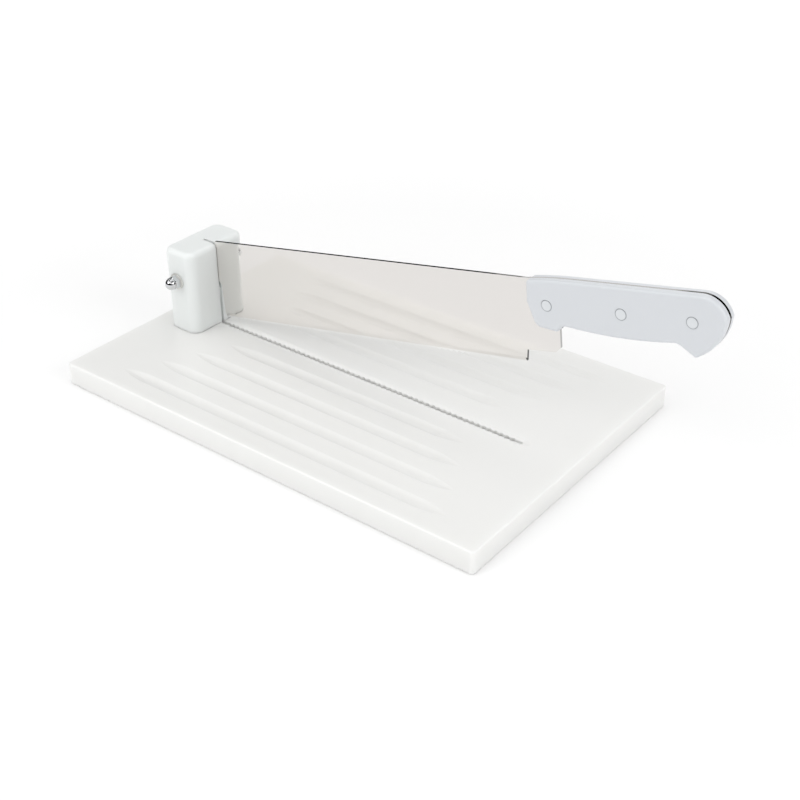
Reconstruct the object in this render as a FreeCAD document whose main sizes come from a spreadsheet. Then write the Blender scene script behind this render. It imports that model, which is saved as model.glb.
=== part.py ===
"""Bread board with a hinged knife: a grooved board, a slotted post, and a full-tang knife on a pivot bolt.

Frame: origin at the centre of the board's underside, +X along the board away from the post,
+Y to the back, +Z up. Lengths are in millimetres and angles in degrees.
The knife's pieces share a frame of their own: origin on the pivot axis in the blade's middle plane,
X along the cutting edge from toe to heel, Z towards the spine.
"""
import FreeCAD, Part
import math
import os
import re
import Sketcher

Vector = FreeCAD.Vector

# Driving sizes: name, value, what it measures
SIZES = [
    ("board_length", 380, "board, along the knife"),
    ("board_width", 250, "board, front to back"),
    ("board_thick", 18, "board, underside to top"),
    ("board_corner", 3, "radius of the board's four upright corners"),
    ("board_edge", 1.2, "radius of the board's rims"),
    ("kerf_from_front", 121, "blade's plane, from the board's front edge"),
    ("blade_thick", 2, "blade"),
    ("blade_side_gap", 0.25, "gap on each side of the blade in its slots"),
    ("kerf_floor_gap", 1.5, "space left under the heel in the kerf"),
    ("kerf_end_gap", 1, "space left beyond the heel's sweep in the kerf"),
    ("kerf_lip_width", 9, "shallow channel that the kerf lies in"),
    ("kerf_lip_depth", 0.9, "depth of that channel"),
    ("kerf_lip_tail", 7, "channel's length beyond the kerf"),
    ("tooth_mark_radius", 2, "round nicks that widen the kerf"),
    ("tooth_mark_depth", 8, "depth of the nicks"),
    ("groove_pitch", 25, "spacing of the crumb grooves"),
    ("groove_back_gap", 30, "kerf to the first groove behind it"),
    ("grooves_per_side", 4, "crumb grooves on each side of the kerf"),
    ("groove_width", 11, "groove's width at the surface"),
    ("groove_depth", 1.2, "groove's depth"),
    ("groove_shortest", 225, "length of the grooves next to the kerf"),
    ("groove_growth", 26, "added length of each groove further out"),
    ("groove_shift", 3.3, "grooves' middle, from the board's middle"),
    ("groove_runout", 22, "length over which a groove rises to the surface"),
    ("pivot_from_left", 32.1, "pivot axis, from the board's left edge"),
    ("pivot_height", 43.2, "pivot axis, above the board"),
    ("pivot_inset", 13.9, "pivot axis, from the post's left face"),
    ("post_length", 30, "post, along the board"),
    ("post_width", 60, "post, front to back"),
    ("post_height", 68.6, "post, above the board"),
    ("post_corner", 8, "radius of the post's upright corners"),
    ("post_edge", 4, "radius of the post's top rim"),
    ("slot_gap", 0.7, "space around the blade's eye in the post's slot"),
    ("toe_gap", 0.6, "space left of the closed blade's toe"),
    ("stop_gap", 0.3, "space left at each stop of the knife's swing"),
    ("rest_raise", 11.8, "cutting edge above level, at rest"),
    ("closed_dip", 2.2, "cutting edge below level when the knife is closed"),
    ("open_swing", 30, "opening swing, counted from rest"),
    ("screw_radius", 3, "post screw, thread"),
    ("screw_head_radius", 6, "post screw, countersunk head"),
    ("screw_grip", 22, "screw's length inside the post"),
    ("screw_key", 4, "socket across flats"),
    ("screw_inset_x", 7.5, "screw axis, from the post's left or right face"),
    ("screw_inset_y", 12, "screw axis, from the post's front or back face"),
    ("screw_hole_gap", 0.3, "clearance round a screw in the board"),
    ("screw_sink", 0.5, "screw heads, above the board's underside"),
    ("bolt_radius", 3, "pivot bolt, shank"),
    ("bolt_hole_gap", 0.2, "clearance round the bolt in the post and washers"),
    ("running_gap", 0.05, "clearance round the bolt in the blade"),
    ("bolt_flats", 10, "bolt head and cap nut, across flats"),
    ("bolt_head", 4, "bolt head, height"),
    ("nut_grip", 5.5, "bolt's length inside the cap nut"),
    ("nut_end_gap", 0.5, "space left beyond the bolt in the cap nut"),
    ("thread_gap", 0.03, "clearance of the threads, which are plain here"),
    ("nut_base", 4.4, "cap nut, hexagon's height"),
    ("nut_height", 9.8, "cap nut, overall height"),
    ("nut_dome_radius", 4.75, "cap nut, dome"),
    ("washer_radius", 6.4, "washer"),
    ("washer_thick", 1.6, "washer"),
    ("shim_radius", 6, "shim ring between blade and post"),
    ("shim_play", 0.05, "total play on each shim"),
    ("eye_radius", 9.3, "blade's eye round the pivot"),
    ("edge_drop", 41.9, "cutting edge, below the pivot axis"),
    ("toe_start", 13, "toe's lower corner, from the pivot axis"),
    ("toe_lean", 3.3, "toe's end line, how far its top lies towards the heel"),
    ("toe_top", 13.8, "top of the toe's end line, below the pivot axis"),
    ("edge_length", 289.8, "cutting edge, toe to heel"),
    ("heel_lean", 2.1, "heel's step, how far its top lies towards the handle"),
    ("ricasso_length", 22.3, "blunt stretch that rests on the board"),
    ("ricasso_chamfer", 4.2, "its bevelled rear corner"),
    ("ricasso_rise", 16.5, "its rear edge, up to the handle"),
    ("ricasso_lean", 1.2, "its rear edge, how far its top lies towards the handle"),
    ("ricasso_hollow", 5.2, "radius from its rear edge into the handle's underside"),
    ("neck_fillet", 6, "hollow between the neck and the toe"),
    ("neck_run", 3.1, "that hollow's length"),
    ("neck_rise", 0.5, "neck's underside at the hollow, above the eye's lowest point"),
    ("shoulder_offset", 14.9, "blade's hidden end, from the pivot axis, upright at rest"),
    ("shoulder_root", 12, "lower end of the hidden end, along it"),
    ("spine_height", 23.6, "spine's front end, above the pivot axis"),
    ("spine_fall", 3.4, "spine's fall towards the handle"),
    ("bevel_height", 4.5, "ground band along the cutting edge"),
    ("edge_land", 0.5, "thickness left at the cutting edge"),
    ("tooth_pitch", 5, "serrations"),
    ("tooth_depth", 1.7, "serrations"),
    ("tooth_tip", 0.8, "flat tip of each serration"),
    ("tooth_root", 0.9, "flat root of each serration"),
    ("handle_start", 313.7, "handle's top front corner, from the pivot axis"),
    ("handle_length", 138.5, "top front corner to the butt"),
    ("handle_front_height", 20.4, "top front corner, above the pivot axis"),
    ("handle_top", 22, "handle's top line, above the pivot axis"),
    ("handle_rise_run", 30, "top line's rising stretch"),
    ("handle_underside", 10.3, "handle's underside, below the pivot axis"),
    ("belly_start", 8.8, "underside's start, from the ricasso's rear edge"),
    ("belly_front_rise", 1, "underside's rise at its start"),
    ("belly_rear_fall", 0.8, "underside's fall at its end"),
    ("handle_belly", 318, "radius of the underside"),
    ("butt_round", 16, "butt's upper round, along the handle"),
    ("butt_fall", 14.3, "butt's upper round, downwards"),
    ("butt_radius", 17, "radius of the butt's upper round"),
    ("butt_curve", 36, "radius of the butt's rear line"),
    ("hook_set_back", 20.2, "hook's tip, from the butt"),
    ("hook_drop", 17.9, "hook's tip, below the pivot axis"),
    ("hook_tip_width", 3.8, "hook's tip"),
    ("hook_tip_radius", 2.6, "hook's tip"),
    ("hook_front_run", 7.3, "hook's front line, along the handle"),
    ("hook_front_rise", 5.4, "hook's front line, upwards"),
    ("hook_hollow_run", 6.2, "hollow in front of the hook, along the handle"),
    ("hook_hollow", 8, "radius of that hollow"),
    ("scale_thick", 4.8, "each handle scale"),
    ("scale_edge", 2, "radius of the scales' outer edges"),
    ("scale_corner", 2.2, "radius of the corners in the scales' outline"),
    ("scale_nose", 1.6, "scales' front end, how far its middle juts over the blade"),
    ("scale_nose_height", 5.9, "that point, above the pivot axis"),
    ("scale_chin", 2, "lower front corner, behind the top one"),
    ("scale_chin_drop", 6.5, "lower front corner, below the pivot axis"),
    ("scale_jaw", 6.6, "jaw's front, behind the top front corner"),
    ("scale_jaw_radius", 6.5, "radius from the chin to the jaw"),
    ("scale_jaw_drop", 11.9, "jaw's front, below the pivot axis"),
    ("scale_heel", 2, "jaw's rear, behind the ricasso's rear edge"),
    ("scale_heel_drop", 13.8, "jaw's rear, below the pivot axis"),
    ("scale_heel_radius", 7.4, "radius from the jaw into the underside"),
    ("rivet_head_radius", 4, "rivet heads"),
    ("rivet_head_thick", 1.6, "rivet heads"),
    ("rivet_tube_radius", 3, "outer radius of the rivets' tubes"),
    ("rivet_pin_radius", 2, "radius of the rivets' pins"),
    ("rivet_pin_length", 6.5, "length of the rivets' pins"),
    ("rivet_gap", 0.03, "clearance round the rivets"),
    ("rivet_end_gap", 0.5, "tube's end to the other head"),
    ("rivet_proud", 0.15, "rivet heads, above the scales"),
    ("rivet_height", 4.4, "rivet axes, above the pivot axis"),
    ("rivet_front", 14, "first rivet, from the handle's start"),
    ("rivet_rear", 22.2, "last rivet, from the butt"),
    ("rivet_shift", 3, "middle rivet, behind the middle of the other two"),
]

doc = FreeCAD.newDocument("bread_board_with_knife")
sheet = doc.addObject("Spreadsheet::Sheet", "Sizes")
for row, (name, value, meaning) in enumerate(SIZES, start=1):
    sheet.set(f"A{row}", name)
    sheet.set(f"B{row}", str(value))
    sheet.set(f"C{row}", meaning)
    sheet.setAlias(f"B{row}", name)
doc.recompute()
SIZE_NAMES = {name for name, value, meaning in SIZES}
parts = []


def linked(text):
    """The expression with every size's name pointed at its cell in the sheet."""
    def point(match):
        word = match.group()
        return "Sizes." + word if word in SIZE_NAMES else word
    return re.sub(r"[a-z_]+", point, text)


def number(text):
    """The expression's value now."""
    return float(sheet.evalExpression(linked(text)))


def drive(item, prop, text):
    item.setExpression(prop, linked(text))


def new_part(label, at=("0", "0", "0"), turn_axis=(0, 0, 1), turn="0"):
    """A sub-part's body; at and turn place it in the object's frame."""
    body = doc.addObject("PartDesign::Body", label)
    body.Label = label
    body.Placement = FreeCAD.Placement(Vector(0, 0, 0), FreeCAD.Rotation(Vector(*turn_axis), number(turn)))
    for axis, text in zip("xyz", at):
        drive(body, f"Placement.Base.{axis}", text)
    if turn != "0":
        drive(body, "Placement.Rotation.Angle", turn)
    parts.append(body)
    return body


def new_sketch(body, plane, at=("0", "0", "0")):
    """A sketch on one of the body's own planes, moved within it and off it by at."""
    sketch = body.newObject("Sketcher::SketchObject", body.Label + "_sketch")
    support = [item for item in body.Origin.OriginFeatures if item.Role == plane][0]
    sketch.AttachmentSupport = [(support, "")]
    sketch.MapMode = "FlatFace"
    for axis, text in zip("xyz", at):
        drive(sketch, f"AttachmentOffset.Base.{axis}", text)
    return sketch


def fix(sketch, shape, spot, x, y):
    """Ties one point of a sketch to two expressions."""
    for kind, text in (("DistanceX", x), ("DistanceY", y)):
        index = sketch.addConstraint(Sketcher.Constraint(kind, -1, 1, shape, spot, number(text)))
        drive(sketch, f"Constraints[{index}]", text)


def outline(sketch, points):
    """A closed outline through points (x, y) in order, as expressions.

    A third entry is the radius of an arc to the next point: positive turns left, negative turns right.
    """
    places = [Vector(number(point[0]), number(point[1]), 0) for point in points]
    ends = []
    for index, point in enumerate(points):
        start = places[index]
        finish = places[(index + 1) % len(points)]
        if len(point) == 2:
            shape = sketch.addGeometry(Part.LineSegment(start, finish))
            ends.append((shape, 1, 2))
            continue
        bend = number(point[2])
        half = (finish - start) * 0.5
        left = Vector(-half.y, half.x, 0).normalize()
        rise = math.sqrt(bend ** 2 - half.Length ** 2)
        centre = start + half + left * (rise if bend > 0 else -rise)
        low, high = (start, finish) if bend > 0 else (finish, start)
        angles = [math.atan2(place.y - centre.y, place.x - centre.x) for place in (low, high)]
        circle = Part.Circle(centre, Vector(0, 0, 1), abs(bend))
        shape = sketch.addGeometry(Part.ArcOfCircle(circle, angles[0], angles[1]))
        index_radius = sketch.addConstraint(Sketcher.Constraint("Radius", shape, abs(bend)))
        drive(sketch, f"Constraints[{index_radius}]", f"abs({point[2]})")
        ends.append((shape, 1, 2) if bend > 0 else (shape, 2, 1))
    for index, (shape, first, last) in enumerate(ends):
        following, opening, _ = ends[(index + 1) % len(ends)]
        sketch.addConstraint(Sketcher.Constraint("Coincident", shape, last, following, opening))
        fix(sketch, shape, first, points[index][0], points[index][1])


def circle(sketch, x, y, radius):
    shape = sketch.addGeometry(Part.Circle(Vector(number(x), number(y), 0), Vector(0, 0, 1), number(radius)))
    fix(sketch, shape, 3, x, y)
    index = sketch.addConstraint(Sketcher.Constraint("Radius", shape, number(radius)))
    drive(sketch, f"Constraints[{index}]", radius)


def hexagon(sketch, flats):
    """A hexagon round the sketch's origin, with two corners on its Y axis."""
    corners = []
    for step in range(6):
        angle = 90 + 60 * step
        corners.append((f"{flats} / 2 / cos(30) * cos({angle})", f"{flats} / 2 / cos(30) * sin({angle})"))
    outline(sketch, corners)


def extrude(kind, body, sketch, length, both_ways=False, backwards=False):
    feature = body.newObject("PartDesign::" + kind, body.Label + "_" + kind.lower())
    feature.Profile = sketch
    drive(feature, "Length", length)
    feature.SideType = "Symmetric" if both_ways else "One side"
    feature.Reversed = backwards
    doc.recompute()
    return feature


def pad(body, sketch, length, both_ways=False, backwards=False):
    return extrude("Pad", body, sketch, length, both_ways, backwards)


def cut(body, sketch, length, both_ways=False, backwards=False):
    """A pocket, which has to take material away."""
    before = body.Shape.Volume
    feature = extrude("Pocket", body, sketch, length, both_ways, backwards)
    if body.Shape.Volume >= before:
        raise RuntimeError(f"{feature.Name} cuts nothing")
    return feature


def turn(kind, body, sketch, axis):
    """A full turn about the sketch's own H_Axis or V_Axis, added or taken away."""
    feature = body.newObject("PartDesign::" + kind, body.Label + "_" + kind.lower())
    feature.Profile = sketch
    feature.ReferenceAxis = (sketch, [axis])
    feature.Angle = 360
    doc.recompute()
    return feature


def repeat(body, feature, sketch, pitch, count):
    """Copies of a feature along its sketch's X axis."""
    pattern = body.newObject("PartDesign::LinearPattern", body.Label + "_pattern")
    pattern.Originals = [feature]
    pattern.Direction = (sketch, ["H_Axis"])
    pattern.Mode = "Spacing"
    drive(pattern, "Offset", pitch)
    drive(pattern, "Occurrences", count)
    body.Tip = pattern
    doc.recompute()
    return pattern


def round_edges(body, feature, radius, wanted):
    """Fillets the edges of a feature that pass the test."""
    names = [f"Edge{index}" for index, edge in enumerate(feature.Shape.Edges, start=1) if wanted(edge)]
    fillet = body.newObject("PartDesign::Fillet", body.Label + "_fillet")
    fillet.Base = (feature, names)
    drive(fillet, "Radius", radius)
    doc.recompute()
    if fillet.Shape.isNull():
        raise RuntimeError(f"{fillet.Name} has failed")
    return fillet


def corners(shape):
    """A test for the edges across which the shape's surface turns sharply."""
    def sharp(edge):
        point = edge.Vertexes[0].Point
        faces = shape.ancestorsOfType(edge, Part.Face)
        normals = [face.normalAt(*face.Surface.parameter(point)) for face in faces]
        return math.degrees(normals[0].getAngle(normals[1])) > 1
    return sharp


def upright(edge):
    """True for an edge parallel to Z."""
    ends = [vertex.Point for vertex in edge.Vertexes]
    return len(ends) == 2 and (ends[0] - ends[1]).cross(Vector(0, 0, 1)).Length < 1e-6


def at_height(level):
    """A test for the edges that lie in the plane Z = level."""
    return lambda edge: abs(edge.BoundBox.ZMin - level) < 1e-4 and abs(edge.BoundBox.ZMax - level) < 1e-4


def box_outline(left, low, right, high):
    return [(left, low), (right, low), (right, high), (left, high)]


# Places that several pieces share, in the object's frame
KERF_Y = "(kerf_from_front - board_width / 2)"
PIVOT_X = "(pivot_from_left - board_length / 2)"
PIVOT_Z = "(board_thick + pivot_height)"
SLOT_WIDTH = "(blade_thick + 2 * blade_side_gap)"
# Along the knife: the heel, the ricasso's two ends and the butt
HEEL_U = "(toe_start + edge_length)"
RICASSO_U = f"({HEEL_U} + heel_lean)"
REAR_U = f"({RICASSO_U} + ricasso_length + ricasso_chamfer)"
BUTT_U = "(handle_start + handle_length)"
KERF_START = f"({PIVOT_X} + toe_start - edge_drop * sin(closed_dip) - toe_gap)"
# The heel's step crosses the board's surface furthest out when the knife is closed
KERF_END = f"({PIVOT_X} + ({RICASSO_U} - pivot_height * sin(closed_dip)) / cos(closed_dip) + kerf_end_gap)"
KERF_DEPTH = f"({HEEL_U} * sin(closed_dip) + edge_drop * cos(closed_dip) - pivot_height + kerf_floor_gap)"


def screw_places():
    """Name, and offsets of each post screw from the pivot axis and from the kerf."""
    columns = [("left", "(screw_inset_x - pivot_inset)"),
               ("right", "(post_length - pivot_inset - screw_inset_x)")]
    rows = [("front", "(screw_inset_y - post_width / 2)"), ("back", "(post_width / 2 - screw_inset_y)")]
    return [(f"post_screw_{row}_{column}", x, y) for row, y in rows for column, x in columns]


def groove_cut(board, middle, y, half, width, depth, runout):
    """A round-bottomed groove along X that rises to the surface over runout at both ends.

    It is the track of a round-nosed cutter, so its section is an arc of radius bend.
    """
    bend = f"(({width} / 2) ^ 2 + {depth} ^ 2) / (2 * {depth})"
    sketch = new_sketch(board, "XZ_Plane", (middle, f"board_thick + {bend} - {depth}", f"-({y})"))
    outline(sketch, [
        (f"-({half})", "0"),
        (f"-({half})", f"-({bend} - {depth})"),
        (f"-({half}) + {runout}", f"-{bend}"),
        (f"({half}) - {runout}", f"-{bend}"),
        (f"({half})", f"-({bend} - {depth})"),
        (f"({half})", "0"),
    ])
    return turn("Groove", board, sketch, "H_Axis")


def make_board():
    board = new_part("cutting_board")
    sketch = new_sketch(board, "XY_Plane")
    outline(sketch, box_outline(
        "-board_length / 2", "-board_width / 2", "board_length / 2", "board_width / 2"))
    slab = pad(board, sketch, "board_thick")
    slab = round_edges(board, slab, "board_corner", upright)
    thick = number("board_thick")
    round_edges(board, slab, "board_edge", lambda edge: at_height(0)(edge) or at_height(thick)(edge))
    for step in range(int(number("grooves_per_side"))):
        half = f"(groove_shortest + {step} * groove_growth) / 2"
        front = f"{KERF_Y} - {step + 1} * groove_pitch"
        back = f"{KERF_Y} + groove_back_gap + {step} * groove_pitch"
        for y in (front, back):
            groove_cut(board, "groove_shift", y, half, "groove_width", "groove_depth", "groove_runout")
    lip_end = f"({KERF_END} + kerf_lip_tail)"
    middle = f"({KERF_START} + {lip_end}) / 2"
    half = f"({lip_end} - {KERF_START}) / 2"
    groove_cut(board, middle, KERF_Y, half, "kerf_lip_width", "kerf_lip_depth", "kerf_lip_tail")
    sketch = new_sketch(board, "XY_Plane", ("0", KERF_Y, "board_thick"))
    left = f"{KERF_START} + {SLOT_WIDTH} / 2"
    right = f"{KERF_END} - {SLOT_WIDTH} / 2"
    bend = f"{SLOT_WIDTH} * 0.5001"
    outline(sketch, [
        (left, f"-{SLOT_WIDTH} / 2"),
        (right, f"-{SLOT_WIDTH} / 2", bend),
        (right, f"{SLOT_WIDTH} / 2"),
        (left, f"{SLOT_WIDTH} / 2", bend),
    ])
    cut(board, sketch, KERF_DEPTH)
    make_tooth_marks(board)
    for name, x, y in screw_places():
        sketch = new_sketch(board, "XZ_Plane", (f"{PIVOT_X} + {x}", "0", f"-({KERF_Y} + {y})"))
        hole = "(screw_radius + screw_hole_gap)"
        outline(sketch, [
            ("0", "0"),
            ("screw_head_radius", "0"),
            (hole, f"screw_head_radius - {hole}"),
            (hole, "board_thick + 1"),
            ("0", "board_thick + 1"),
        ])
        turn("Groove", board, sketch, "V_Axis")


def make_tooth_marks(board):
    """Round nicks along the kerf, one for each serration."""
    first = "(post_length - pivot_inset + tooth_pitch)"
    sketch = new_sketch(board, "XY_Plane", (f"{PIVOT_X} + {first}", KERF_Y, "board_thick"))
    circle(sketch, "0", "0", "tooth_mark_radius")
    mark = cut(board, sketch, "tooth_mark_depth")
    count = f"floor(({KERF_END} - {PIVOT_X} - {first}) / tooth_pitch)"
    repeat(board, mark, sketch, "tooth_pitch", count)


def make_post():
    post = new_part("pivot_post", (PIVOT_X, KERF_Y, "board_thick"))
    right = "(post_length - pivot_inset)"
    sketch = new_sketch(post, "XY_Plane")
    outline(sketch, box_outline("-pivot_inset", "-post_width / 2", right, "post_width / 2"))
    block = pad(post, sketch, "post_height")
    block = round_edges(post, block, "post_corner", upright)
    round_edges(post, block, "post_edge", at_height(number("post_height")))
    # The slot: its slanted left end stops the blade's shoulder when the knife is open
    lip_rise = "(post_height - pivot_height)"
    lip = f"((shoulder_offset - stop_gap - {lip_rise} * sin(open_swing)) / cos(open_swing))"
    wall = "-(eye_radius + slot_gap)"
    floor = "(pivot_height - eye_radius - slot_gap)"
    # Below it a tapering relief takes the neck's hollow and the toe as the knife closes
    neck = "(toe_start + toe_lean - neck_run - eye_radius * sin(closed_dip) - toe_gap)"
    relief = "(toe_start - edge_drop * sin(closed_dip) - toe_gap)"
    relief_top = "(toe_start + toe_lean - toe_top * sin(closed_dip) - toe_gap)"
    relief_height = "(pivot_height - toe_top * cos(closed_dip))"
    sketch = new_sketch(post, "XZ_Plane")
    outline(sketch, [
        (lip, "post_height"),
        (wall, "pivot_height + slot_gap * 4"),
        (wall, floor),
        (neck, floor),
        (relief_top, relief_height),
        (relief, "0"),
        (relief, "-1"),
        (f"{right} + 1", "-1"),
        (f"{right} + 1", "post_height + 1"),
        (lip, "post_height + 1"),
    ])
    cut(post, sketch, SLOT_WIDTH, both_ways=True)
    sketch = new_sketch(post, "XZ_Plane")
    circle(sketch, "0", "pivot_height", "bolt_radius + bolt_hole_gap")
    cut(post, sketch, "post_width + 2", both_ways=True)
    sketch = new_sketch(post, "XY_Plane")
    for name, x, y in screw_places():
        circle(sketch, x, y, "screw_radius")
    cut(post, sketch, "screw_grip + 1", backwards=True)


def make_post_screws():
    """Countersunk socket screws that hold the post from under the board."""
    for name, x, y in screw_places():
        screw = new_part(name, (f"{PIVOT_X} + {x}", f"{KERF_Y} + {y}", "screw_sink"))
        sketch = new_sketch(screw, "XZ_Plane")
        outline(sketch, [
            ("0", "0"),
            ("screw_head_radius - screw_sink", "0"),
            ("screw_radius", "screw_head_radius - screw_sink - screw_radius"),
            ("screw_radius", "board_thick - screw_sink + screw_grip"),
            ("0", "board_thick - screw_sink + screw_grip"),
        ])
        turn("Revolution", screw, sketch, "V_Axis")
        sketch = new_sketch(screw, "XY_Plane")
        hexagon(sketch, "screw_key")
        cut(screw, sketch, "screw_key * 0.6", backwards=True)


def hexagon_with_chamfer(body, low, high):
    """A hexagon bar from low to high along Z whose corners are turned off at its upper end."""
    sketch = new_sketch(body, "XY_Plane", ("0", "0", low))
    hexagon(sketch, "bolt_flats")
    pad(body, sketch, f"{high} - ({low})")
    corner = "bolt_flats / 2 / cos(30)"
    sketch = new_sketch(body, "XZ_Plane")
    outline(sketch, [
        ("bolt_flats / 2 - 0.1", high),
        (f"{corner} + 0.4", high),
        (f"{corner} + 0.4", f"{high} - ({corner} + 0.5 - bolt_flats / 2) * tan(30)"),
    ])
    turn("Groove", body, sketch, "V_Axis")


def make_bolt():
    """The pivot bolt: its head is on the back of the post and its end is in the cap nut."""
    bolt = new_part("pivot_bolt", (PIVOT_X, f"{KERF_Y} + post_width / 2", PIVOT_Z), (1, 0, 0), "-90")
    hexagon_with_chamfer(bolt, "washer_thick", "(washer_thick + bolt_head)")
    length = "(post_width + 2 * washer_thick + nut_grip)"
    sketch = new_sketch(bolt, "XY_Plane", ("0", "0", "washer_thick"))
    circle(sketch, "0", "0", "bolt_radius")
    pad(bolt, sketch, length, backwards=True)


def make_cap_nut():
    """The domed nut on the front of the post."""
    nut = new_part("pivot_cap_nut", (PIVOT_X, f"{KERF_Y} - post_width / 2", PIVOT_Z), (1, 0, 0), "90")
    top = "(washer_thick + nut_base)"
    hexagon_with_chamfer(nut, "washer_thick", top)
    sketch = new_sketch(nut, "XZ_Plane")
    peak = "(washer_thick + nut_height)"
    outline(sketch, [
        ("0", f"{top} - 1"),
        ("nut_dome_radius", f"{top} - 1"),
        ("nut_dome_radius", f"{peak} - nut_dome_radius", "nut_dome_radius"),
        ("0", peak),
    ])
    turn("Revolution", nut, sketch, "V_Axis")
    sketch = new_sketch(nut, "XY_Plane", ("0", "0", "washer_thick"))
    circle(sketch, "0", "0", "bolt_radius + thread_gap")
    cut(nut, sketch, "nut_grip + nut_end_gap", backwards=True)


def make_ring(label, at, turn_angle, low, high, outer, inner, edge):
    """A flat ring along the pivot axis, with chamfered outer rims."""
    ring = new_part(label, at, (1, 0, 0), turn_angle)
    sketch = new_sketch(ring, "XZ_Plane")
    outline(sketch, [
        (inner, low),
        (f"{outer} - {edge}", low),
        (outer, f"{low} + {edge}"),
        (outer, f"{high} - {edge}"),
        (f"{outer} - {edge}", high),
        (inner, high),
    ])
    turn("Revolution", ring, sketch, "V_Axis")


def make_rings():
    sides = [("front", "-", "90"), ("back", "+", "-90")]
    for side, sign, angle in sides:
        at = (PIVOT_X, f"{KERF_Y} {sign} post_width / 2", PIVOT_Z)
        hole = "bolt_radius + bolt_hole_gap"
        make_ring(f"{side}_washer", at, angle, "0", "washer_thick", "washer_radius", hole, "0.2")
    for side, sign, angle in sides:
        at = (PIVOT_X, f"{KERF_Y} {sign} blade_thick / 2", PIVOT_Z)
        hole = "bolt_radius + bolt_hole_gap"
        make_ring(f"blade_shim_{side}", at, angle, "shim_play / 2", "(blade_side_gap - shim_play / 2)",
                  "shim_radius", hole, "0.04")


def knife_part(label):
    """A body in the knife's frame, raised to its rest position."""
    return new_part(label, (PIVOT_X, KERF_Y, PIVOT_Z), (0, -1, 0), "rest_raise")


def on_board(u):
    """Height in the knife's frame of the closed knife's stop line at u: stop_gap above the board."""
    return f"(({u}) * sin(closed_dip) - (pivot_height - stop_gap)) / cos(closed_dip)"


def handle_outline():
    """The handle's outline from its top front corner round the butt to the start of its underside."""
    hook = f"({BUTT_U} - hook_set_back - hook_tip_width)"
    rise = "(handle_top - handle_front_height)"
    # The rising stretch is an arc that runs level where it meets the top line
    crown = f"(handle_rise_run ^ 2 + {rise} ^ 2) / (2 * {rise})"
    return [
        ("handle_start", "handle_front_height", f"-({crown})"),
        ("handle_start + handle_rise_run", "handle_top"),
        (f"{BUTT_U} - butt_round", "handle_top", "-butt_radius"),
        (BUTT_U, "handle_top - butt_fall", "-butt_curve"),
        (f"{BUTT_U} - hook_set_back", "-hook_drop", "-hook_tip_radius"),
        (hook, "-hook_drop"),
        (f"{hook} - hook_front_run", "-hook_drop + hook_front_rise", "hook_hollow"),
        (f"{hook} - hook_front_run - hook_hollow_run",
         "-handle_underside - belly_rear_fall", "-handle_belly"),
    ]


def rivet_places():
    front = "(handle_start + rivet_front)"
    rear = f"({BUTT_U} - rivet_rear)"
    return [("front", front), ("middle", f"(({front} + {rear}) / 2 + rivet_shift)"), ("rear", rear)]


def make_blade():
    blade = knife_part("blade")
    slope = "sin(rest_raise)"
    rise = "cos(rest_raise)"
    # The shoulder lies on an upright line at rest, shoulder_offset from the pivot axis
    root = "shoulder_root"
    head = f"((spine_height + shoulder_offset * {slope}) / {rise})"
    ricasso_end = f"({RICASSO_U} + ricasso_length)"
    sketch = new_sketch(blade, "XZ_Plane")
    points = [
        ("-eye_radius", "0", "-eye_radius"),
        ("0", "eye_radius"),
        (f"shoulder_offset * {rise} + {root} * {slope}", f"{root} * {rise} - shoulder_offset * {slope}"),
        (f"shoulder_offset * {rise} + {head} * {slope}", "spine_height"),
        ("handle_start - scale_nose", "spine_height - spine_fall"),
    ]
    points += handle_outline()
    points += [
        (f"{REAR_U} + belly_start", "-handle_underside + belly_front_rise", "ricasso_hollow"),
        (f"{REAR_U} + ricasso_lean", f"{on_board(REAR_U)} + ricasso_rise"),
        (REAR_U, f"{on_board(REAR_U)} + ricasso_chamfer * 0.8"),
        (ricasso_end, on_board(ricasso_end)),
        (RICASSO_U, on_board(RICASSO_U)),
        (HEEL_U, "-edge_drop"),
        ("toe_start", "-edge_drop"),
        ("toe_start + toe_lean", "-toe_top", "neck_fillet"),
        ("toe_start + toe_lean - neck_run", "-eye_radius + neck_rise"),
        ("0", "-eye_radius", "-eye_radius"),
    ]
    outline(sketch, points)
    pad(blade, sketch, "blade_thick", both_ways=True)
    # The bevel is ground on the front face
    sketch = new_sketch(blade, "YZ_Plane", ("0", "0", "toe_start - 5"))
    face = "-blade_thick / 2"
    outline(sketch, [
        (face, "-edge_drop + bevel_height"),
        (f"{face} - 1", "-edge_drop + bevel_height"),
        (f"{face} - 1", "-edge_drop - 1"),
        ("blade_thick / 2 - edge_land", "-edge_drop - 1"),
        ("blade_thick / 2 - edge_land", "-edge_drop"),
    ])
    cut(blade, sketch, "edge_length + 10", backwards=True)
    sketch = new_sketch(blade, "XZ_Plane", ("toe_start", "-edge_drop", "0"))
    outline(sketch, [
        ("tooth_tip", "-1"),
        ("tooth_pitch", "-1"),
        ("tooth_pitch", "0"),
        ("(tooth_pitch + tooth_tip + tooth_root) / 2", "tooth_depth"),
        ("(tooth_pitch + tooth_tip - tooth_root) / 2", "tooth_depth"),
        ("tooth_tip", "0"),
    ])
    notch = cut(blade, sketch, "blade_thick * 2", both_ways=True)
    repeat(blade, notch, sketch, "tooth_pitch", "floor(edge_length / tooth_pitch)")
    sketch = new_sketch(blade, "XZ_Plane")
    circle(sketch, "0", "0", "bolt_radius + running_gap")
    for name, u in rivet_places():
        circle(sketch, u, "rivet_height", "rivet_tube_radius + rivet_gap")
    cut(blade, sketch, "blade_thick * 2", both_ways=True)


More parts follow.
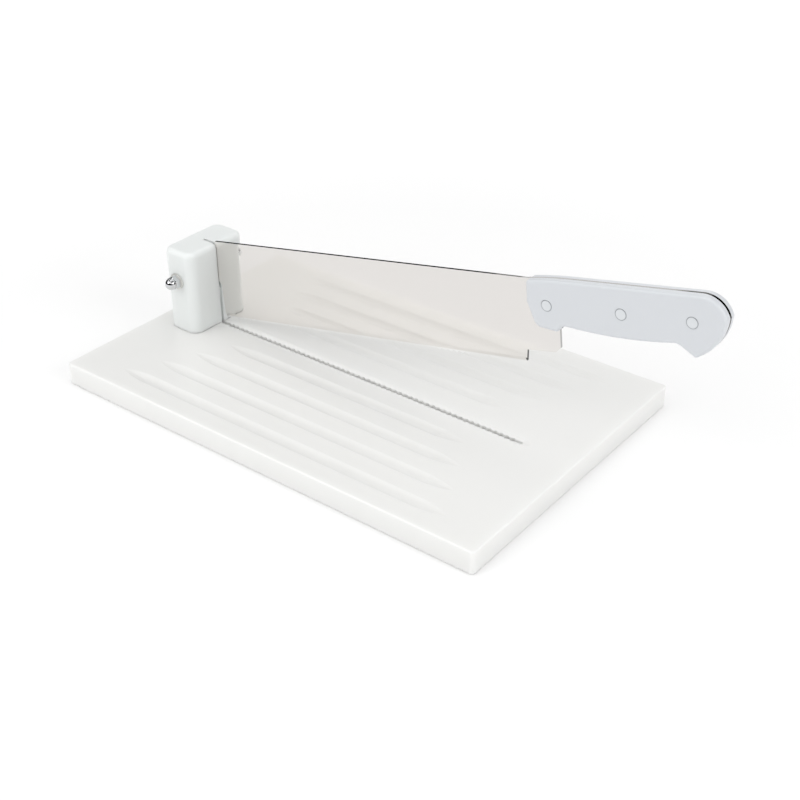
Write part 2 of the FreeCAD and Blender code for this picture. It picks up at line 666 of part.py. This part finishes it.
def make_scales():
    """The two handle scales, whose outline is the tang's but for their own front end."""
    for side, sign, backwards in (("front", "", False), ("back", "-", True)):
        scale = knife_part(f"handle_scale_{side}")
        sketch = new_sketch(scale, "XZ_Plane", ("0", "0", f"{sign}(blade_thick / 2)"))
        points = handle_outline()
        points += [
            (f"{REAR_U} + belly_start", "-handle_underside + belly_front_rise", "scale_heel_radius"),
            (f"{REAR_U} + scale_heel", "-scale_heel_drop"),
            ("handle_start + scale_jaw", "-scale_jaw_drop", "-scale_jaw_radius"),
            ("handle_start + scale_chin", "-scale_chin_drop"),
            ("handle_start - scale_nose", "scale_nose_height"),
        ]
        outline(sketch, points)
        slab = pad(scale, sketch, "scale_thick", backwards=backwards)
        sharp = corners(slab.Shape)
        slab = round_edges(scale, slab, "scale_corner", lambda edge: across(edge) and sharp(edge))
        outer = number("blade_thick / 2 + scale_thick")
        round_edges(scale, slab, "scale_edge", on_face(outer))
        depths = [("rivet_tube_radius", "0", "scale_thick"),
                  ("rivet_head_radius", "scale_thick - rivet_head_thick", "rivet_head_thick")]
        for radius, start, depth in depths:
            sketch = new_sketch(scale, "XZ_Plane", ("0", "0", f"{sign}(blade_thick / 2 + {start})"))
            for name, u in rivet_places():
                circle(sketch, u, "rivet_height", f"{radius} + rivet_gap")
            cut(scale, sketch, depth, backwards=not backwards)


def across(edge):
    """True for an edge that runs from one side of the handle to the other."""
    return edge.BoundBox.YLength > number("scale_thick") - 1e-4


def on_face(distance):
    """A test for the edges that lie in a plane at this distance from the blade's middle plane."""
    return lambda edge: min(abs(edge.BoundBox.YMin), abs(edge.BoundBox.YMax)) > distance - 1e-4


def make_rivets():
    """Three two-piece rivets: a headed tube from the front and a headed pin from the back."""
    face = "(blade_thick / 2 + scale_thick)"
    seat = f"({face} - rivet_head_thick)"
    for name, u in rivet_places():
        for piece in ("tube", "pin"):
            rivet = knife_part(f"rivet_{name}_{piece}")
            front = piece == "tube"
            sign = "" if front else "-"
            sketch = new_sketch(rivet, "XZ_Plane", ("0", "0", f"{sign}{seat}"))
            circle(sketch, u, "rivet_height", "rivet_head_radius")
            head = pad(rivet, sketch, "rivet_head_thick + rivet_proud", backwards=not front)
            round_edges(rivet, head, "rivet_proud * 2", on_face(number(f"{face} + rivet_proud")))
            sketch = new_sketch(rivet, "XZ_Plane", ("0", "0", f"{sign}{seat}"))
            if front:
                circle(sketch, u, "rivet_height", "rivet_tube_radius")
                pad(rivet, sketch, f"2 * {seat} - rivet_end_gap", backwards=True)
                sketch = new_sketch(rivet, "XZ_Plane", ("0", "0", f"-{seat} + rivet_end_gap"))
                circle(sketch, u, "rivet_height", "rivet_pin_radius + rivet_gap")
                cut(rivet, sketch, "rivet_pin_length", backwards=True)
            else:
                circle(sketch, u, "rivet_height", "rivet_pin_radius")
                pad(rivet, sketch, "rivet_pin_length - rivet_end_gap")


make_board()
make_post()
make_post_screws()
make_bolt()
make_cap_nut()
make_rings()
make_blade()
make_scales()
make_rivets()
doc.recompute()

for item in doc.Objects:
    if "Invalid" in item.State or "Error" in item.State:
        raise RuntimeError(f"{item.Label} is {item.State}")
for body in parts:
    shape = body.Shape
    if shape.isNull() or not shape.isValid() or len(shape.Solids) != 1:
        raise RuntimeError(f"{body.Label} has no sound single solid")

os.makedirs("parts", exist_ok=True)
for body in parts:
    body.Shape.exportStep(f"parts/{body.Label}.step")
    print(f"{body.Label}: {body.Shape.Volume:.0f} mm3")
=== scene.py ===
"""The bread board with its hinged knife, dressed for a studio picture."""

import math

import bmesh
import bpy
from mathutils import Matrix, Vector


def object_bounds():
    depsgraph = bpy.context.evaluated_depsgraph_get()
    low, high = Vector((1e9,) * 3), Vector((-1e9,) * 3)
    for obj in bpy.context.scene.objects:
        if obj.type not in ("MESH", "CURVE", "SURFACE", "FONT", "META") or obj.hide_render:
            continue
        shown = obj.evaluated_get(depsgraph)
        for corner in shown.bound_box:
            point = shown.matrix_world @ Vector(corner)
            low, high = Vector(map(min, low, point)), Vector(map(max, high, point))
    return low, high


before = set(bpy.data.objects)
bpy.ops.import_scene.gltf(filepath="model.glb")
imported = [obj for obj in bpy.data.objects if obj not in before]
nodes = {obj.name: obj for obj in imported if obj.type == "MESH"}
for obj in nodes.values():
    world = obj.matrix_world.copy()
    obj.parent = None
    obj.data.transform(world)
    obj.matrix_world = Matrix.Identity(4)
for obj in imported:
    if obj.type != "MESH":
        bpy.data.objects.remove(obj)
cad_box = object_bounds()

MM = 0.001
# The knife at rest, in millimetres and degrees: its pivot, its cutting edge's raise and half its thickness
PIVOT = (-157.9, -4, 61.2)
REST_RAISE = 11.8
HALF_BLADE = 1.0
# From the blade's middle: up to where its narrow faces surely are, and where its sides' colour begins
NARROW_FULL, NARROW_FADE = HALF_BLADE - 0.08, HALF_BLADE - 0.02
# Square to the cutting edge, up from the pivot: the edge, the top of its bevel, and the top of the painted
# highlight on the teeth
EDGE = -41.9
BEVEL_TOP = EDGE + 4.5
TEETH_HIGHLIGHT_TOP, TEETH_HIGHLIGHT_FADE = EDGE + 1.6, EDGE + 2.6
# Along the cutting edge, from the pivot: its heel, and the tang's back from the front of the handle to
# where the butt turns down
HEEL = 302.8
GRIP_START, GRIP_END = 308, 422
# The round nicks along the kerf: the first one's middle, pitch and number, and how far their shade goes
FIRST_NICK, NICK_PITCH, NICK_COUNT = -136.8, 5, 56
NICK_SHADE, NICK_FADE = 1.5, 2.1
# Where the painted shade at the rims of the rivets' heads begins, and where it is full, from the heads'
# middles
HEAD_RIM, HEAD_RIM_FULL = 3.3, 3.7
# The patches in which a gloss changes. Real grain and grinding lines are too fine to show in the picture, so
# they are drawn as coarse as just shows, and this deep
PLASTIC_PATCH, METAL_PATCH = 9, 14
GRAIN_DEPTH = 0.02
# The middle part of the noise's range, which it rarely leaves
NOISE_LOW, NOISE_HIGH = 0.3, 0.7


# Colours and node helpers
def linear(code):
    """A colour written in sRGB hex, in the linear values that the shaders take."""
    parts = [int(code[i:i + 2], 16) / 255 for i in (1, 3, 5)]
    return (*(c / 12.92 if c <= 0.04045 else ((c + 0.055) / 1.055) ** 2.4 for c in parts), 1.0)


def node(tree, kind, links=(), **values):
    """Adds a shader node; links are (input, output socket) pairs, values are properties or inputs."""
    made = tree.nodes.new(kind)
    for key, value in values.items():
        if hasattr(made, key):
            setattr(made, key, value)
        else:
            made.inputs[key.replace("_", " ")].default_value = value
    for key, socket in links:
        tree.links.new(made.inputs[key], socket)
    return made


def new_material(name):
    """A material with its Principled shader and a place in the object's own millimetres."""
    material = bpy.data.materials.new(name)
    material.use_nodes = True
    tree = material.node_tree
    tree.nodes.clear()
    shader = tree.nodes.new("ShaderNodeBsdfPrincipled")
    output = tree.nodes.new("ShaderNodeOutputMaterial")
    tree.links.new(output.inputs["Surface"], shader.outputs["BSDF"])
    place = tree.nodes.new("ShaderNodeTexCoord")
    in_mm = node(tree, "ShaderNodeVectorMath", [(0, place.outputs["Object"])], operation="SCALE")
    in_mm.inputs["Scale"].default_value = 1 / MM
    return material, tree, shader, in_mm.outputs[0]


def spotty(tree, place, size_mm, low, high, stretch=(1, 1, 1), detail=3.0):
    """Noise of a real size in millimetres, spread between two values."""
    squeezed = node(tree, "ShaderNodeVectorMath", [(0, place)], operation="MULTIPLY")
    squeezed.inputs[1].default_value = stretch
    noise = node(tree, "ShaderNodeTexNoise", [("Vector", squeezed.outputs[0])],
                 Scale=1 / size_mm, Detail=detail)
    spread = node(tree, "ShaderNodeMapRange", [("Value", noise.outputs["Fac"])],
                  From_Min=NOISE_LOW, From_Max=NOISE_HIGH, To_Min=low, To_Max=high)
    return spread.outputs[0]


def relief(tree, shader, height, strength):
    bump = node(tree, "ShaderNodeBump", [("Height", height)], Strength=strength, Distance=GRAIN_DEPTH * MM)
    tree.links.new(shader.inputs["Normal"], bump.outputs[0])


def plastic(name, code, roughness, grain_mm, grain_strength, glow_mm=0.0, paint=None):
    """A moulded or milled plastic whose gloss and fine grain are uneven; a glow lets light wander into it."""
    material, tree, shader, place = new_material(name)
    shader.inputs["Base Color"].default_value = linear(code)
    tree.links.new(shader.inputs["Roughness"], spotty(tree, place, PLASTIC_PATCH, *roughness))
    relief(tree, shader, spotty(tree, place, grain_mm, 0, 1), grain_strength)
    if glow_mm:
        shader.inputs["Subsurface Weight"].default_value = 1.0
        shader.inputs["Subsurface Radius"].default_value = (1.0, 1.0, 1.0)
        shader.inputs["Subsurface Scale"].default_value = glow_mm * MM
    if paint:
        tree.links.new(shader.inputs["Base Color"], paint(tree, place, code))
    return material


def metal(name, code, roughness, line_mm, strength, stretch=(1, 1, 1), paint=None):
    """A bare metal with fine marks; a stretch below 1 draws them out along that direction."""
    material, tree, shader, place = new_material(name)
    shader.inputs["Base Color"].default_value = linear(code)
    shader.inputs["Metallic"].default_value = 1.0
    tree.links.new(shader.inputs["Roughness"], spotty(tree, place, METAL_PATCH, *roughness))
    relief(tree, shader, spotty(tree, place, line_mm, 0, 1, stretch, 2.0), strength)
    if paint:
        tree.links.new(shader.inputs["Base Color"], paint(tree, place, code))
    return material


def nick_shade_paint(tree, place, code):
    """The board's white, with painted shade: a little greyer in the round nicks along the kerf."""
    along = node(tree, "ShaderNodeVectorMath", [(0, place)], operation="SUBTRACT")
    along.inputs[1].default_value = (FIRST_NICK, PIVOT[1], 0)
    # The nearest nick's middle: held between the first and the last, and snapped to the pitch
    held = node(tree, "ShaderNodeVectorMath", [(0, along.outputs[0])], operation="MAXIMUM")
    held.inputs[1].default_value = (0, 0, 0)
    held = node(tree, "ShaderNodeVectorMath", [(0, held.outputs[0])], operation="MINIMUM")
    held.inputs[1].default_value = ((NICK_COUNT - 1) * NICK_PITCH, 0, 0)
    half = node(tree, "ShaderNodeVectorMath", [(0, held.outputs[0])], operation="ADD")
    half.inputs[1].default_value = (NICK_PITCH / 2, 0, 0)
    middle = node(tree, "ShaderNodeVectorMath", [(0, half.outputs[0])], operation="SNAP")
    middle.inputs[1].default_value = (NICK_PITCH, 1, 1)
    flat = node(tree, "ShaderNodeVectorMath", [(0, along.outputs[0])], operation="MULTIPLY")
    flat.inputs[1].default_value = (1, 1, 0)
    away = node(tree, "ShaderNodeVectorMath", [(0, flat.outputs[0]), (1, middle.outputs[0])],
                operation="DISTANCE")
    spot = node(tree, "ShaderNodeMapRange", [("Value", away.outputs["Value"])],
                From_Min=NICK_SHADE, From_Max=NICK_FADE, To_Min=1.0, To_Max=0.0)
    # Painted shade: the nicks' recesses are tinted greyer
    tint = node(tree, "ShaderNodeMix", [(0, spot.outputs[0])], data_type="RGBA")
    tint.inputs[6].default_value = linear(code)
    tint.inputs[7].default_value = linear("#B4B4B2")
    return tint.outputs[2]


def rivet_rim_shade_paint(tree, place, code):
    """The heads' metal, with painted shade: darker at the rims, where they meet the scales."""
    nearest = None
    for part in ("rivet_front_tube", "rivet_middle_tube", "rivet_rear_tube"):
        corners = [Vector(corner) for corner in nodes[part].bound_box]
        beside = node(tree, "ShaderNodeVectorMath", [(0, place)], operation="SUBTRACT")
        beside.inputs[1].default_value = sum(corners, Vector()) / len(corners) / MM
        flat = node(tree, "ShaderNodeVectorMath", [(0, beside.outputs[0])], operation="MULTIPLY")
        flat.inputs[1].default_value = (1, 0, 1)
        away = node(tree, "ShaderNodeVectorMath", [(0, flat.outputs[0])], operation="LENGTH").outputs["Value"]
        if nearest is not None:
            away = node(tree, "ShaderNodeMath", [(0, nearest), (1, away)], operation="MINIMUM").outputs[0]
        nearest = away
    rim = node(tree, "ShaderNodeMapRange", [("Value", nearest)],
               From_Min=HEAD_RIM, From_Max=HEAD_RIM_FULL, To_Min=0.0, To_Max=1.0)
    # Painted shade: the heads' rims darker where they meet the scales
    tint = node(tree, "ShaderNodeMix", [(0, rim.outputs[0])], data_type="RGBA")
    tint.inputs[6].default_value = linear(code)
    tint.inputs[7].default_value = linear("#A6AAAE")
    return tint.outputs[2]


def blade_painted_reflections(tree, place, code):
    """The blade's steel with painted reflections: dark on its narrow faces, and a white painted highlight on
    its teeth.
    """
    raised = math.radians(REST_RAISE)
    away = node(tree, "ShaderNodeVectorMath", [(0, place)], operation="SUBTRACT")
    away.inputs[1].default_value = PIVOT
    square = node(tree, "ShaderNodeVectorMath", [(0, away.outputs[0])], operation="DOT_PRODUCT")
    square.inputs[1].default_value = (-math.sin(raised), 0, math.cos(raised))
    along = node(tree, "ShaderNodeVectorMath", [(0, away.outputs[0])], operation="DOT_PRODUCT")
    along.inputs[1].default_value = (math.cos(raised), 0, math.sin(raised))
    # The spine, the butt and the other narrow faces lie between the two sides
    split = node(tree, "ShaderNodeSeparateXYZ", [("Vector", away.outputs[0])])
    beside = node(tree, "ShaderNodeMath", [(0, split.outputs["Y"])], operation="ABSOLUTE")
    narrow = node(tree, "ShaderNodeMapRange", [("Value", beside.outputs[0])],
                  From_Min=NARROW_FULL, From_Max=NARROW_FADE, To_Min=1.0, To_Max=0.0)
    # The tang's back between the scales, where the narrow faces' painted dark reflection is painted lighter
    after = node(tree, "ShaderNodeMapRange", [("Value", along.outputs["Value"])],
                 From_Min=GRIP_START - 2, From_Max=GRIP_START + 2, To_Min=0.0, To_Max=1.0)
    ahead = node(tree, "ShaderNodeMapRange", [("Value", along.outputs["Value"])],
                 From_Min=GRIP_END - 5, From_Max=GRIP_END + 5, To_Min=1.0, To_Max=0.0)
    grip = node(tree, "ShaderNodeMath", [(0, after.outputs[0]), (1, ahead.outputs[0])], operation="MULTIPLY")
    # Painted reflection: the narrow faces darkened
    narrow_reflection = node(tree, "ShaderNodeMix", [(0, grip.outputs[0])], data_type="RGBA")
    narrow_reflection.inputs[6].default_value = linear("#5C5B5A")
    narrow_reflection.inputs[7].default_value = linear("#B8B7B6")
    steel = node(tree, "ShaderNodeMix", [(0, narrow.outputs[0]), (7, narrow_reflection.outputs[2])], data_type="RGBA")
    steel.inputs[6].default_value = linear(code)
    # The bevel lies there too, but keeps the sides' colour up to the heel
    low = node(tree, "ShaderNodeMapRange", [("Value", square.outputs["Value"])],
               From_Min=BEVEL_TOP + 0.05, From_Max=BEVEL_TOP + 0.2, To_Min=1.0, To_Max=0.0)
    before = node(tree, "ShaderNodeMapRange", [("Value", along.outputs["Value"])],
                  From_Min=HEEL - 0.5, From_Max=HEEL - 0.2, To_Min=1.0, To_Max=0.0)
    bevel = node(tree, "ShaderNodeMath", [(0, low.outputs[0]), (1, before.outputs[0])], operation="MULTIPLY")
    steel = node(tree, "ShaderNodeMix", [(0, bevel.outputs[0]), (6, steel.outputs[2])], data_type="RGBA")
    steel.inputs[7].default_value = linear(code)
    # A painted highlight: the teeth white
    teeth = node(tree, "ShaderNodeMapRange", [("Value", square.outputs["Value"])],
                 From_Min=TEETH_HIGHLIGHT_TOP, From_Max=TEETH_HIGHLIGHT_FADE, To_Min=1.0, To_Max=0.0)
    tint = node(tree, "ShaderNodeMix", [(0, teeth.outputs[0]), (6, steel.outputs[2])], data_type="RGBA")
    tint.inputs[7].default_value = linear("#FFFFFF")
    return tint.outputs[2]


# Moulded polyethylene: an even satin white with broad, soft highlights
board_plastic = plastic("polyethylene_moulded_satin", "#F0F0EE", (0.3, 0.38), 0.7, 0.05, 4, nick_shade_paint)
# Milled polyethylene: a white a touch cooler and more matt than the board's
post_plastic = plastic("polyethylene_milled_smooth", "#EBEEED", (0.42, 0.52), 0.9, 0.04, 3)
# Moulded polyoxymethylene: a pale bluish grey whose rims show a soft gloss
handle_plastic = plastic("polyoxymethylene_moulded_soft_gloss", "#D9DCE0", (0.28, 0.34), 0.6, 0.04)
# Stainless steel, finely ground: mirrors the board softly, warm grey, with lines from the spine to the edge;
# its narrow faces and teeth carry painted reflections
blade_steel = metal("stainless_steel_fine_ground", "#EDEAE7", (0.05, 0.09), 0.25, 0.04,
                    stretch=(1, 1, 0.04), paint=blade_painted_reflections)
# Aluminium, turned: satin heads that stay close to the handle's grey, with a line of painted shade round them
rivet_metal = metal("aluminium_turned_satin", "#E8EBEE", (0.3, 0.36), 0.3, 0.05, paint=rivet_rim_shade_paint)
# Steel, chromium plated: a hard mirror with black and white reflections
chrome_nut = metal("steel_chromium_plated", "#DADBDD", (0.04, 0.06), 0.8, 0.02)
# Stainless steel, blasted: a light even grey without reflections
satin_steel = metal("stainless_steel_blasted", "#E8E8E4", (0.5, 0.6), 0.3, 0.05)
# Steel, zinc plated: cooler and duller than the chromium
zinc_steel = metal("steel_zinc_plated", "#B4B8BC", (0.27, 0.34), 0.5, 0.05)

FINISH = {
    "cutting_board": board_plastic,
    "pivot_post": post_plastic,
    "blade": blade_steel,
    "handle_scale_front": handle_plastic,
    "handle_scale_back": handle_plastic,
    "pivot_cap_nut": chrome_nut,
    "front_washer": satin_steel,
}


def dress(item, material):
    item.data.materials.clear()
    item.data.materials.append(material)


for name, item in nodes.items():
    fallback = rivet_metal if name.startswith("rivet") else zinc_steel
    dress(item, FINISH.get(name, fallback))


# Floor, light and camera, in metres
LAMP_TARGET = Vector((0, 0, 0.05))
# The floor lies a hair below the board and reaches this far. Its lift grows between two distances, to this
# many times as much
FLOOR_GAP, FLOOR_REACH = 0.0002, 6.0
LIFT_NEAR, LIFT_FAR, LIFT_GAIN = 0.35, 1.6, 4.4
# The strength of the soft light from the front and from the back
FRONT_LIGHT, BACK_LIGHT = 0.9, 0.54


def paper_floor():
    mesh = bpy.data.meshes.new("floor")
    form = bmesh.new()
    bmesh.ops.create_grid(form, x_segments=1, y_segments=1, size=FLOOR_REACH)
    form.to_mesh(mesh)
    form.free()
    floor = bpy.data.objects.new("floor", mesh)
    floor.location.z = cad_box[0].z - FLOOR_GAP
    bpy.context.scene.collection.objects.link(floor)
    material = bpy.data.materials.new("floor_paper")
    material.use_nodes = True
    tree = material.node_tree
    tree.nodes.clear()
    rays = node(tree, "ShaderNodeLightPath")
    paper = node(tree, "ShaderNodeBsdfDiffuse")
    paper.inputs["Color"].default_value = linear("#F4F4F4")
    # Seen directly it is lifted to white, and more so far away, where the lamps don't reach. The shadows
    # close to the object stay.
    place = node(tree, "ShaderNodeTexCoord")
    away = node(tree, "ShaderNodeVectorMath", [(0, place.outputs["Object"])], operation="LENGTH")
    far = node(tree, "ShaderNodeMapRange", [("Value", away.outputs["Value"])],
               From_Min=LIFT_NEAR, From_Max=LIFT_FAR, To_Min=1.0, To_Max=LIFT_GAIN)
    amount = node(tree, "ShaderNodeMath",
                  [(0, rays.outputs["Is Camera Ray"]), (1, far.outputs[0])], operation="MULTIPLY")
    lift = node(tree, "ShaderNodeEmission", [("Strength", amount.outputs[0])])
    lift.inputs["Color"].default_value = linear("#585858")
    both = node(tree, "ShaderNodeAddShader", [(0, paper.outputs[0]), (1, lift.outputs[0])])
    node(tree, "ShaderNodeOutputMaterial", [("Surface", both.outputs[0])])
    dress(floor, material)


def studio_light():
    """Soft white light on the object; a plain white for the camera and in polished surfaces."""
    world = bpy.data.worlds.new("studio")
    bpy.context.scene.world = world
    world.use_nodes = True
    tree = world.node_tree
    tree.nodes.clear()
    rays = node(tree, "ShaderNodeLightPath")
    seen = node(tree, "ShaderNodeMath",
                [(0, rays.outputs["Is Camera Ray"]), (1, rays.outputs["Is Glossy Ray"])], operation="MAXIMUM")
    seen = node(tree, "ShaderNodeMath",
                [(0, seen.outputs[0]), (1, rays.outputs["Is Transmission Ray"])], operation="MAXIMUM")
    towards = node(tree, "ShaderNodeTexCoord")
    split = node(tree, "ShaderNodeSeparateXYZ", [("Vector", towards.outputs["Generated"])])
    level = node(tree, "ShaderNodeMapRange", [("Value", split.outputs["Y"])],
                 From_Min=-1.0, From_Max=1.0, To_Min=FRONT_LIGHT, To_Max=BACK_LIGHT)
    light = node(tree, "ShaderNodeBackground", [("Strength", level.outputs[0])])
    light.inputs["Color"].default_value = linear("#FFFFFF")
    backdrop = node(tree, "ShaderNodeBackground", Strength=1.0)
    backdrop.inputs["Color"].default_value = linear("#FFFFFF")
    mixed = node(tree, "ShaderNodeMixShader", [
        (0, seen.outputs[0]), (1, light.outputs[0]), (2, backdrop.outputs[0])])
    node(tree, "ShaderNodeOutputWorld", [("Surface", mixed.outputs[0])])


def card(name, low, high):
    """A matt, flat studio card between two corners, which only polished surfaces see."""
    mesh = bpy.data.meshes.new(name)
    across, along = [axis for axis in range(3) if low[axis] != high[axis]]
    form = bmesh.new()
    corners = []
    for one, other in ((low, low), (high, low), (high, high), (low, high)):
        corner = list(low)
        corner[across], corner[along] = one[across], other[along]
        corners.append(form.verts.new(corner))
    form.faces.new(corners)
    form.to_mesh(mesh)
    form.free()
    item = bpy.data.objects.new(name, mesh)
    bpy.context.scene.collection.objects.link(item)
    material = bpy.data.materials.new(name + "_cloth")
    material.use_nodes = True
    tree = material.node_tree
    tree.nodes.clear()
    cloth = node(tree, "ShaderNodeBsdfDiffuse")
    cloth.inputs["Color"].default_value = linear("#141414")
    node(tree, "ShaderNodeOutputMaterial", [("Surface", cloth.outputs[0])])
    dress(item, material)
    for sight in ("camera", "diffuse", "transmission", "volume_scatter", "shadow"):
        setattr(item, "visible_" + sight, False)


def lamp(name, place, side, power):
    """A square soft box that looks at the middle of the object."""
    data = bpy.data.lights.new(name, "AREA")
    data.shape = "RECTANGLE"
    data.size = data.size_y = side
    data.energy = power
    item = bpy.data.objects.new(name, data)
    item.location = place
    item.rotation_mode = "QUATERNION"
    item.rotation_quaternion = (LAMP_TARGET - Vector(place)).to_track_quat("-Z", "Y")
    bpy.context.scene.collection.objects.link(item)


def camera():
    """The photo's view: place in millimetres, then yaw, pitch and roll in degrees."""
    place = Vector((542.9, -651.5, 526.9)) * MM
    yaw, pitch, roll = (math.radians(v) for v in (37.90, 32.13, -0.21))
    ahead = Vector((-math.sin(yaw) * math.cos(pitch), math.cos(yaw) * math.cos(pitch), -math.sin(pitch)))
    level = Vector((math.cos(yaw), math.sin(yaw), 0))
    upward = level.cross(ahead)
    right = math.cos(roll) * level + math.sin(roll) * upward
    up = -math.sin(roll) * level + math.cos(roll) * upward
    data = bpy.data.cameras.new("camera")
    data.lens = 58.98
    data.sensor_width = 36
    data.clip_start, data.clip_end = 0.01, 50
    item = bpy.data.objects.new("camera", data)
    item.matrix_world = Matrix((
        (right.x, up.x, -ahead.x, place.x),
        (right.y, up.y, -ahead.y, place.y),
        (right.z, up.z, -ahead.z, place.z),
        (0, 0, 0, 1)))
    bpy.context.scene.collection.objects.link(item)
    bpy.context.scene.camera = item


paper_floor()
studio_light()
# Behind, above, at the sides and in front of the object
card("dark_card_back_left", (-2.6, 1.4, 0.2), (-1.05, 1.4, 2.4))
card("dark_card_back_right", (-0.05, 1.4, 0.2), (2, 1.4, 2.4))
card("dark_card_top", (-2, -0.9, 2.4), (2, 1.4, 2.4))
card("dark_card_left", (-1.8, -2.2, 0.0), (-1.8, 1.4, 1.3))
card("dark_card_left_floor", (-1.8, -1.6, 0.0015), (-0.95, 0.0, 0.0015))
card("dark_card_front", (-1.8, -2.2, 0.1), (2.2, -2.2, 1.6))
card("dark_card_side", (2.2, -2.2, 0.1), (2.2, 1.4, 1.3))
lamp("key", (-0.8, -1.7, 1.3), 1.2, 8)
lamp("top", (-0.2, 0.2, 2.0), 1.4, 6.5)
lamp("fill", (1.6, 0.0, 0.9), 1.0, 6)
camera()
bpy.context.scene.view_settings.view_transform = "Standard"
